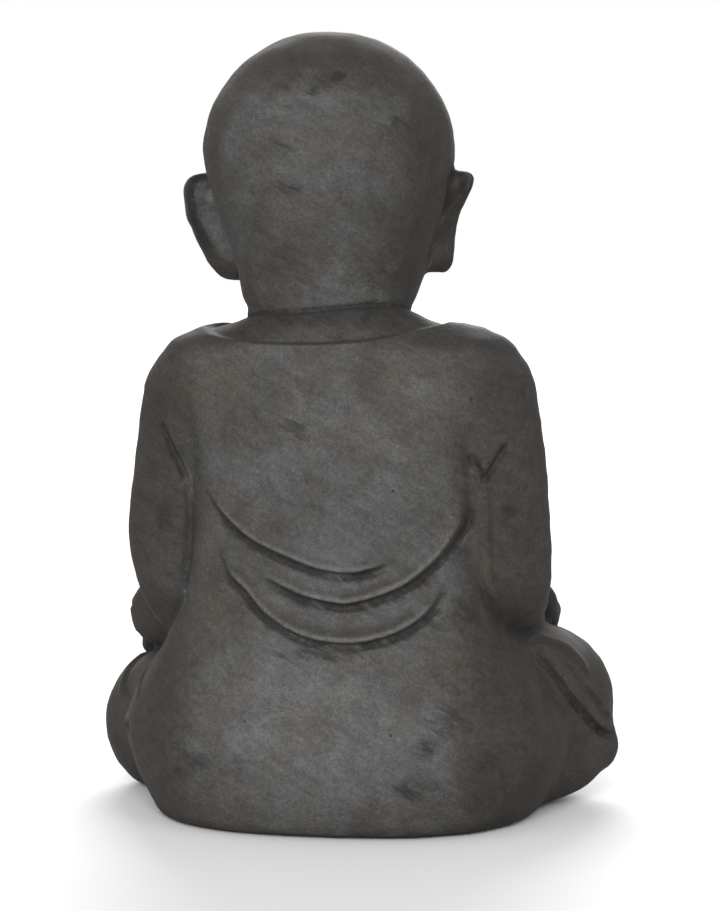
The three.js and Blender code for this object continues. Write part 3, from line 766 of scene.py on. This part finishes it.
def remeshed(piece, voxel):
    change = piece.modifiers.new("even", "REMESH")
    change.mode = "VOXEL"
    change.voxel_size = voxel
    change.adaptivity = 0
    found = bpy.data.meshes.new_from_object(piece.evaluated_get(bpy.context.evaluated_depsgraph_get()))
    piece.modifiers.remove(change)
    old = piece.data
    piece.data = found
    bpy.data.meshes.remove(old)


def places(mesh):
    flat = np.empty(len(mesh.vertices) * 3)
    mesh.vertices.foreach_get("co", flat)
    return flat.reshape(-1, 3) / share - shift


def setPlaces(mesh, points):
    mesh.vertices.foreach_set("co", ((points + shift) * share).astype(np.float32).ravel())
    mesh.update()


def settled(mesh, rounds, reach, relax):  # moves on to the skin, evening out the vertices between the moves
    for _ in range(rounds):
        setPlaces(mesh, onSkin(places(mesh), 1, reach))
        bm = bmesh.new()
        bm.from_mesh(mesh)
        axes = {"use_axis_x": True, "use_axis_y": True, "use_axis_z": True}
        bmesh.ops.smooth_vert(bm, verts=bm.verts, factor=relax, **axes)
        bm.to_mesh(mesh)
        bm.free()
    setPlaces(mesh, onSkin(places(mesh), 2, reach))


def normals(mesh):
    flat = np.empty(len(mesh.vertices) * 3, np.float32)
    mesh.vertices.foreach_get("normal", flat)
    return flat.reshape(-1, 3).astype(float)


def nearFeature(p, margin, broad):  # points that lie close to a fold, an edge, the face, a hand or a foot
    x, y, z = p[:, 0] - skull["middle"], p[:, 1], p[:, 2]
    flat = p[:, (0, 2)]
    near = (y < -8) & (np.abs(x) < 9 + broad) & (z > 69.5 - broad) & (z < 84.5 + broad)
    for folds, side in ((robe["backFolds"], y > 6), (robe["frontFolds"], y < 0)):
        for fold in folds:
            curve = smoothRow(np.array(fold["line"]), np.linspace(0, 1, 30))
            near |= side & (lineDistance(flat, curve)[0] < margin)
    open = insideOpening(p)
    near |= (np.abs(open) < margin) & (z > 42) & (z < 65)
    near |= (np.abs(open + robe["collarWidth"]) < margin) & (y < 4) & (z > 42) & (z < 65)
    curve = smoothRow(np.array(robe["lapLine"]), np.linspace(0, 1, 30))
    near |= (np.abs(lineDistance(flat, curve)[0] - robe["collarWidth"] / 2) < margin) & (y < 0)
    for entries, more in ((skirtLines, 0), (creaseLines, 0.5)):
        for entry in entries:
            found, d, _, _, _ = alongLine(p, entry[0], margin + more)
            near[found] |= d < margin + more
    near |= neckGap(p) < margin
    for palm, fingers in handTables:
        for table in [palm] * broad + fingers:
            near |= limbDistance(p, table) < 0.25 + 0.25 * broad
    for table in [limbTables["foot"]] * broad + lapTables * broad:
        near |= limbDistance(p, table) < 0.5
    near |= (knobDistance(p, toes["first"], (8, 5, 3)) < 0) & (z < 6)
    if broad:
        for ear in earPair:
            near |= earDistance(p, ear) < 0.5
    return near


def refined(mesh, margin, broad):  # halves the faces near the features, and sets the new points on the skin
    count = len(mesh.vertices)
    near = nearFeature(places(mesh), margin, broad)
    bm = bmesh.new()
    bm.from_mesh(mesh)
    bm.verts.ensure_lookup_table()
    edges = set()
    for polygon in bm.faces:
        if any(near[v.index] for v in polygon.verts):
            edges.update(polygon.edges)
    bmesh.ops.subdivide_edges(bm, edges=list(edges), cuts=1, use_grid_fill=True)
    bm.to_mesh(mesh)
    bm.free()
    p = places(mesh)
    moved = np.arange(len(p)) >= count
    moved[:count] = near
    p[moved] = onSkin(p[moved], 2, 0.3)
    setPlaces(mesh, p)
    print("stage: refined", len(mesh.vertices), sum(len(f.vertices) - 2 for f in mesh.polygons), "triangles")



# How the skin is made: thickness and voxels in metres, margins in hundredths of the figure's height.
skinSteps = {
    "thicken": 0.003,
    "firstVoxel": 0.005,
    "voxel": 0.0043,
    "wideMargin": 1.0,
    "fineMargin": 0.42,
}
# The figure starts as a copy of its CAD solid, a little thicker, so that narrow gaps between limbs close.
figureMesh = figureNode.data.copy()
figureMesh.materials.clear()
bm = bmesh.new()
bm.from_mesh(figureMesh)
bmesh.ops.remove_doubles(bm, verts=bm.verts, dist=1e-5)
bmesh.ops.recalc_face_normals(bm, faces=bm.faces)
fill = hands["fill"]
ballRadius = fill["share"] * hands["thumbRadii"][0] * share
for hand in hands["pair"]:  # the CAD has no thumbs, so balls along each one fill its place
    shares = np.linspace(fill["from"], fill["to"], fill["balls"])
    for place in smoothRow(np.array(thumbPath(hand)), shares):
        at = Matrix.Translation(tuple((place + shift) * share))
        bmesh.ops.create_icosphere(bm, subdivisions=2, radius=ballRadius, matrix=at)
bm.to_mesh(figureMesh)
bm.free()
figure = linkPiece("monkFigure", figureMesh)
thicken = figure.modifiers.new("thicken", "DISPLACE")
thicken.strength = skinSteps["thicken"]
thicken.mid_level = 0
remeshed(figure, skinSteps["firstVoxel"])
figure.modifiers.clear()
print("stage: first remesh", len(figure.data.vertices))
settled(figure.data, 5, 0.6, 0.5)
remeshed(figure, skinSteps["voxel"])
settled(figure.data, 3, 0.4, 0.4)
refined(figure.data, skinSteps["wideMargin"], True)
refined(figure.data, skinSteps["fineMargin"], False)
print("stage: even skin", len(figure.data.vertices), len(figure.data.polygons))
for polygon in figure.data.polygons:
    polygon.use_smooth = True


# Dark smudges on the back of the figure: x, z, half width, half height and strength.
stains = [
    (2.8, 92.5, 4.5, 1.6, 0.5), (-1.2, 93.3, 1, 0.7, 1), (1.7, 91.2, 1.1, 0.7, 0.9),
    (-8.5, 86.5, 3.5, 4.5, 0.45), (6, 84.5, 3, 1.5, 0.6), (5.4, 79.2, 2.8, 1.2, 0.65),
    (8.6, 75.5, 2, 1.8, 0.6), (10.4, 78.5, 2.4, 2, 0.4), (6.2, 70.3, 4, 1.6, 0.6),
    (-4.2, 67.2, 3.4, 1, 0.5), (-4.4, 64.9, 1.8, 0.6, 1), (-5.6, 69, 2, 0.8, 0.5),
    (-9, 59.6, 4, 0.8, 0.5), (3, 54.8, 5, 2.2, 0.3), (3.4, 50, 2.6, 1.4, 0.6), (2.6, 48.6, 1.6, 0.9, 0.7),
    (-10, 56, 5, 2, 0.35), (9, 56, 6, 2.5, 0.3), (1.4, 43.5, 3.4, 0.9, 0.5), (-4.2, 41.8, 2.4, 0.7, 0.55),
    (3, 40.4, 5, 0.8, 0.4), (-7, 37.3, 3, 0.8, 0.4), (-16, 34, 2, 3, 0.5), (-17, 27.2, 2, 2.4, 0.7),
    (21.5, 38.5, 1.4, 2, 0.7), (22.3, 36.2, 1, 1.4, 0.6), (-22.3, 39.5, 1.2, 1.4, 0.9),
    (23, 46, 1.8, 4, 0.4), (-19, 18, 3.5, 3, 0.45), (-15.6, 14.5, 3.6, 3.4, 0.6),
    (-13.6, 11.6, 1.4, 1.6, 0.8), (-20.6, 9.4, 2.6, 1.6, 0.6), (-12.4, 6.4, 3.6, 1.4, 0.65),
    (-11.2, 7.6, 0.9, 0.5, 1), (-17.6, 4.4, 2.6, 1, 0.5), (18, 12.2, 3.4, 3, 0.45),
    (15.6, 8.8, 3, 1.4, 0.75), (17, 7.4, 2, 1, 0.8), (9.2, 8.6, 2, 2.4, 0.4), (-26, 15, 2, 2, 0.5),
    (-0.5, 22.4, 8, 1, 0.55), (10.6, 27.4, 2, 1.6, 0.5), (-13.6, 25.6, 2.2, 1.4, 0.5),
]

# Where the stone is paler and cooler, partly a cooler dusting and partly painted light on broad surfaces: x,
# z, half width, half height and strength.
pales = [
    (0, 14, 14, 10, 1), (-3, 49, 9, 7, 0.35), (2.5, 82, 6, 9, 0.35), (0, 67, 8, 3, 0.5),
    (19.5, 30, 4, 6, 0.7), (-18, 33, 3.5, 7, 0.8), (-2, 31, 9, 3, 0.5),
]


def writeSurface(mesh):  # how sunk or raised each point lies, for stains and worn edges, and for painted shade and painted highlights
    p, normal = places(mesh), normals(mesh)
    earBack = np.zeros(len(p))
    earRimShade = np.zeros(len(p))
    # the backs of the ears get painted light: less painted shade and a paler colour; their outer rims get
    # painted shade, stronger on the ear towards +x
    for ear in earPair:
        q = p - ear["root"]
        close = ramp(1.4 - earDistance(p, ear), 0, 1) * ramp(-q @ ear["facing"], -0.6, 0.4)
        edge = rimDistance(q, ear)
        earBack = np.maximum(earBack, close * ramp(-edge, 0.2, 1.4))
        rimShade = close * (1 if ear["out"][0] > 0 else 0.4) * ramp(edge, -1.1, -0.2)
        rimShade = rimShade * ramp(q @ ear["out"], 0, 2) * ramp(q[:, 2], -6, -3)
        earRimShade = np.maximum(earRimShade, rimShade)
    # dark marks: the stains below, and painted shade under the back folds, in the creases and at the neck
    # line
    spotsAndShade = np.zeros(len(p))
    for x, z, wide, high, dark in stains:
        away = np.hypot((p[:, 0] - x) / wide, (p[:, 2] - z) / high)
        spotsAndShade = np.maximum(spotsAndShade, 0.8 * dark * ramp(1.6 - away, 0, 1.3) * (p[:, 1] > 4))
    flat = p[:, (0, 2)]
    lit = np.zeros(len(p))
    for fold in robe["backFolds"]:  # painted shade under each fold, and a painted highlight along its edge above
        curve = smoothRow(np.array(fold["line"]), np.linspace(0, 1, 40))
        d, along, side = lineDistance(flat, curve)
        above = d * np.sign(side) * np.sign(curve[-1, 0] - curve[0, 0])
        reach = tapered(along, 0.2) * (p[:, 1] > 6)
        wash = ramp(-above, -0.15, 0.35) * np.exp(np.minimum(above, 0) / 0.9)
        spotsAndShade = np.maximum(spotsAndShade, 1.3 * reach * wash)
        lit = np.maximum(lit, reach * np.exp(-(((above - 0.5) / 0.42) ** 2)))
    # painted shade along the creases between the arms and the body
    for crease, (line, _, _) in zip(creases, creaseLines):
        near, d, along, _, _ = alongLine(p, line, 2)
        dark = min(1, 1.3 * crease["depth"]) * ramp(along, 0, 0.15) * ramp(1 - along, 0, 0.15)
        spotsAndShade[near] = np.maximum(spotsAndShade[near], dark * np.exp(-((d / 0.6) ** 2)))
    # painted shade in the line where the neck meets the robe, and a darker neck band inside the robe's edge
    # below the head
    spotsAndShade = np.maximum(spotsAndShade, 0.7 * np.exp(-((neckGap(p) / 0.3) ** 2)))
    band = ramp(insideOpening(p), -0.2, 0.3) * ramp(65.4 - p[:, 2], 0, 1) * (p[:, 2] > 58)
    # the sides of the body and head, and faces that turn upward, count as flanks, which get painted shade and
    # a warmer tint
    body = p[:, 2] < 63
    asideHead = 0.9 * ramp(np.abs(p[:, 0] - skull["middle"]), 9, 16)
    aside = np.where(body, ramp(np.abs(p[:, 0]), 13, 22), asideHead)
    aside = np.maximum(aside, ramp(normal[:, 2], 0.35, 0.85))
    paleAndLit = np.zeros(len(p))
    for x, z, wide, high, much in pales:
        away = np.hypot((p[:, 0] - x) / wide, (p[:, 2] - z) / high)
        paleAndLit = np.maximum(paleAndLit, much * ramp(1.5 - away, 0, 1.2))
    # hollow and groove: how closed in each point is, at a broad and a fine scale; the shader darkens them as
    # painted shade
    hollow = 1 - figureDistance(p + normal * 2.4) / 2.4
    groove = 1 - figureDistance(p + normal * 0.5) / 0.5
    # raised: how convex each point is, or the painted highlight along the top of a back fold
    raised = np.maximum(1 + figureDistance(p - normal * 0.5) / 0.5, 0.33 * lit)
    values = {
        "groove": groove,
        "hollow": hollow * (1 - earBack),
        "rim": raised * ramp(0.55 - hollow, 0, 0.25) * ramp(0.4 - groove, 0, 0.3),
        # painted shade and a warmer tint where the surface turns aside from the front and back
        "flankTintAndShade": (1 - np.abs(normal[:, 1]) * (1 - 0.75 * aside)) * (1 - 0.85 * earBack),
        # paler, cooler patches, partly a cooler dusting and partly painted light, and painted light on the
        # ear backs
        "paleAndLit": np.maximum(paleAndLit, earBack),
        # stains, with painted shade under the back folds, in the creases, at the neck line and on the outer
        # ear rims, and a darker neck band
        "stainsAndShade": np.maximum(np.maximum(spotsAndShade, 0.36 * band), 0.75 * earRimShade),
    }
    for name, value in values.items():
        layer = mesh.attributes.new(name, "FLOAT", "POINT")
        layer.data.foreach_set("value", np.clip(value, 0, 1).astype(np.float32))
        print("stage:", name, [round(float(v), 3) for v in np.percentile(value, [5, 50, 90, 98])])


writeSurface(figure.data)
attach(figure, "root")
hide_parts("monk_figure")


class Wiring:  # short calls for a material's nodes
    def __init__(self, tree):
        self.tree = tree

    def add(self, kind, inputs, out=0, **settings):
        made = self.tree.nodes.new(kind)
        for key, value in settings.items():
            setattr(made, key, value)
        for key, value in inputs.items():
            if isinstance(value, bpy.types.NodeSocket):
                self.tree.links.new(value, made.inputs[key])
            else:
                made.inputs[key].default_value = value
        return made.outputs[out]

    def math(self, way, a, b=0.0, c=None, clamp=False):
        inputs = {0: a, 1: b}
        if c is not None:
            inputs[2] = c
        return self.add("ShaderNodeMath", inputs, operation=way, use_clamp=clamp)

    def noise(self, where, scale, detail, rough=0.5, bend=0.0):
        inputs = {"Vector": where, "Scale": scale, "Detail": detail, "Roughness": rough, "Distortion": bend}
        return self.add("ShaderNodeTexNoise", inputs)

    def span(self, value, low, high, first=0.0, last=1.0):
        inputs = {"Value": value, "From Min": low, "From Max": high, "To Min": first, "To Max": last}
        return self.add("ShaderNodeMapRange", inputs, interpolation_type="SMOOTHSTEP")

    def mix(self, much, a, b, way="MIX"):
        inputs = {0: much, 6: a, 7: b}
        return self.add("ShaderNodeMix", inputs, out=2, data_type="RGBA", blend_type=way)

    def known(self, name):
        return self.add("ShaderNodeAttribute", {}, out=2, attribute_name=name)


stone = {
    "cool": (0.052, 0.0535, 0.0525, 1),
    "warm": (0.043, 0.0365, 0.031, 1),
    # darkest colour, for stains and pits and for painted shade
    "darkStainAndShade": (0.008, 0.0078, 0.0082, 1),
    # light colour for worn edges and for painted highlights along the tops of the back folds
    "wearAndHighlight": (0.105, 0.1, 0.09, 1),
    "roughness": 0.86,
    "gloss": 0.25,
    "pitScale": 46.0,
    "bumpStrength": 0.5,
    "bumpDepth": 0.0006,
}


def castStone():
    material = bpy.data.materials.new("castStone")
    material.use_nodes = True
    tree = material.node_tree
    shader = tree.nodes["Principled BSDF"]
    w = Wiring(tree)
    where = w.add("ShaderNodeTexCoord", {}, out=3)
    cloud = w.noise(where, 24, 5, 0.6, 0.4)
    patch = w.noise(where, 34, 6, 0.66, 0.7)
    turned = w.add("ShaderNodeVectorRotate", {0: where, "Angle": 0.5, "Axis": (0, 1, 0)})
    brushed = w.add("ShaderNodeVectorMath", {0: turned, 1: (0.32, 0.6, 1.5)}, operation="MULTIPLY")
    stroke = w.noise(brushed, 150, 5, 0.7, 0.3)
    speck = w.noise(where, 330, 4, 0.68)
    grain = w.noise(where, 1250, 2, 0.6)
    flankTintAndShade = w.known("flankTintAndShade")
    paleAndLit = w.known("paleAndLit")
    # flanks turned aside from the front and back get a warmer tint and painted shade; pale patches, partly a
    # cooler dusting and partly painted light, are cooler
    tint = w.math("ADD", w.span(cloud, 0.36, 0.62, 0.05, 0.85), w.span(flankTintAndShade, 0.25, 0.8, 0.0, 0.55))
    tint = w.math("SUBTRACT", tint, w.math("MULTIPLY", paleAndLit, 0.4), clamp=True)
    colour = w.mix(tint, stone["cool"], stone["warm"])
    # painted shade: the flanks are made darker
    light = w.math("MULTIPLY", w.span(patch, 0.3, 0.7, 0.84, 1.16), w.span(flankTintAndShade, 0.05, 1.0, 1.0, 0.54))
    light = w.math("MULTIPLY", light, w.span(stroke, 0.3, 0.7, 0.86, 1.14))
    # painted light: pale patches are made brighter, partly as a paler dusting
    light = w.math("MULTIPLY", light, w.math("MULTIPLY_ADD", paleAndLit, 0.24, 0.82))
    light = w.math("MULTIPLY", light, w.span(speck, 0.25, 0.75, 0.8, 1.2))
    light = w.math("MULTIPLY", light, w.span(grain, 0.25, 0.75, 0.7, 1.3))
    colour = w.mix(1.0, colour, w.add("ShaderNodeCombineColor", {0: light, 1: light, 2: light}), "MULTIPLY")
    # worn raised edges, with painted highlights along the tops of the back folds, take the light colour
    wearAndHighlight = w.math("MULTIPLY", w.span(w.known("rim"), 0.08, 0.42), w.span(speck, 0.3, 0.65, 0.25, 0.8))
    colour = w.mix(wearAndHighlight, colour, stone["wearAndHighlight"])
    ragged = w.span(stroke, 0.34, 0.62, 0.5, 1.0)
    # painted shade: grooves and hollows are darkened where shade falls
    sunk = w.math("ADD", w.span(w.known("groove"), 0.06, 0.3), w.span(w.known("hollow"), 0.1, 0.6, 0.0, 0.45))
    smudge = w.span(w.noise(where, 30, 7, 0.72, 0.5), 0.56, 0.74, 0.0, 0.6)
    flecks = w.math("MULTIPLY_ADD", w.noise(brushed, 95, 8, 0.78, 0.8), 2.0, -1.0)
    # stains, with the painted shade held in the same attribute, broken up by flecks
    stainAndShadeFlecked = w.span(w.math("ADD", w.known("stainsAndShade"), flecks), 0.22, 0.8, 0.0, 1.0)
    stainAndShadeFlecked = w.math("MULTIPLY", stainAndShadeFlecked, w.span(w.known("stainsAndShade"), 0.02, 0.3))
    stainsAndShade = w.math("MULTIPLY", w.math("MAXIMUM", sunk, smudge), ragged, clamp=True)
    stainsAndShade = w.math("MAXIMUM", stainsAndShade, stainAndShadeFlecked)
    colour = w.mix(w.math("MULTIPLY", stainsAndShade, 0.8), colour, stone["darkStainAndShade"])
    cells = {"Vector": where, "Scale": stone["pitScale"], "Randomness": 1.0}
    cell = w.add("ShaderNodeTexVoronoi", cells)
    picked = w.add("ShaderNodeTexVoronoi", cells, out=1)
    rare = w.math("GREATER_THAN", w.add("ShaderNodeSeparateColor", {0: picked}), 0.72)
    pit = w.math("MULTIPLY", w.span(cell, 0.03, 0.06, 1.0, 0.0), rare)
    colour = w.mix(w.math("MULTIPLY", pit, 0.85), colour, stone["darkStainAndShade"])
    height = w.math("ADD", w.math("MULTIPLY", speck, 0.5), w.math("MULTIPLY", grain, 0.22))
    height = w.math("SUBTRACT", height, w.math("MULTIPLY", pit, 1.6))
    bumps = {"Strength": stone["bumpStrength"], "Distance": stone["bumpDepth"], "Height": height}
    bump = w.add("ShaderNodeBump", bumps)
    tree.links.new(colour, shader.inputs["Base Color"])
    tree.links.new(bump, shader.inputs["Normal"])
    shader.inputs["Roughness"].default_value = stone["roughness"]
    shader.inputs["Specular IOR Level"].default_value = stone["gloss"]
    return material


figure.data.materials.append(castStone())
print("stage: stone finish")

studio = {
    "floorSize": 30,
    "floorTone": 0.54,
    "floorRoughness": 0.9,
    "floorDrop": 0.0005,
    "worldStrength": 1.0,
    "lamps": [("keyBehind", 184, 24, 3.6, 30), ("keyFront", 8, 26, 4.0, 30)],  # turn, lift, strength, spread
    "aim": (0, 0, 0.25),
    "cameraTurn": 190,
    "cameraLift": 3,
    "cameraAway": 1.8,
    "lens": 109.07,
    "shift": (0.0115, -0.0401),
}
floorMaterial = bpy.data.materials.new("paleFloor")
floorMaterial.use_nodes = True
floorShader = floorMaterial.node_tree.nodes["Principled BSDF"]
tone = studio["floorTone"]
floorShader.inputs["Base Color"].default_value = (tone, tone, tone, 1)
floorShader.inputs["Roughness"].default_value = studio["floorRoughness"]
floorMesh = bpy.data.meshes.new("floor")
bm = bmesh.new()
bmesh.ops.create_grid(bm, x_segments=1, y_segments=1, size=studio["floorSize"])
bm.to_mesh(floorMesh)
bm.free()
floorMesh.materials.append(floorMaterial)
floor = linkPiece("floor", floorMesh)
floor.location.z = -studio["floorDrop"]

world = bpy.data.worlds.new("studio")
bpy.context.scene.world = world
world.use_nodes = True
world.node_tree.nodes["Background"].inputs["Color"].default_value = (1, 1, 1, 1)
world.node_tree.nodes["Background"].inputs["Strength"].default_value = studio["worldStrength"]


def softLight(name, turn, lift, strength, spread):
    data = bpy.data.lights.new(name, "SUN")
    data.energy = strength
    data.angle = radians(spread)
    lamp = bpy.data.objects.new(name, data)
    bpy.context.scene.collection.objects.link(lamp)
    lamp.rotation_euler = (radians(90 - lift), 0, radians(turn))


for lamp in studio["lamps"]:
    softLight(*lamp)

cameraData = bpy.data.cameras.new("camera")
camera = bpy.data.objects.new("camera", cameraData)
bpy.context.scene.collection.objects.link(camera)
cameraData.lens = studio["lens"]
cameraData.sensor_width = 36
cameraData.shift_x, cameraData.shift_y = studio["shift"]
turn, lift = radians(studio["cameraTurn"]), radians(studio["cameraLift"])
back = Vector((np.sin(turn) * np.cos(lift), -np.cos(turn) * np.cos(lift), np.sin(lift)))
camera.location = Vector(studio["aim"]) + back * studio["cameraAway"]
camera.rotation_euler = back.to_track_quat("Z", "Y").to_euler()
bpy.context.scene.camera = camera
bpy.context.scene.view_settings.view_transform = "Standard"
print("stage: floor, light and camera")
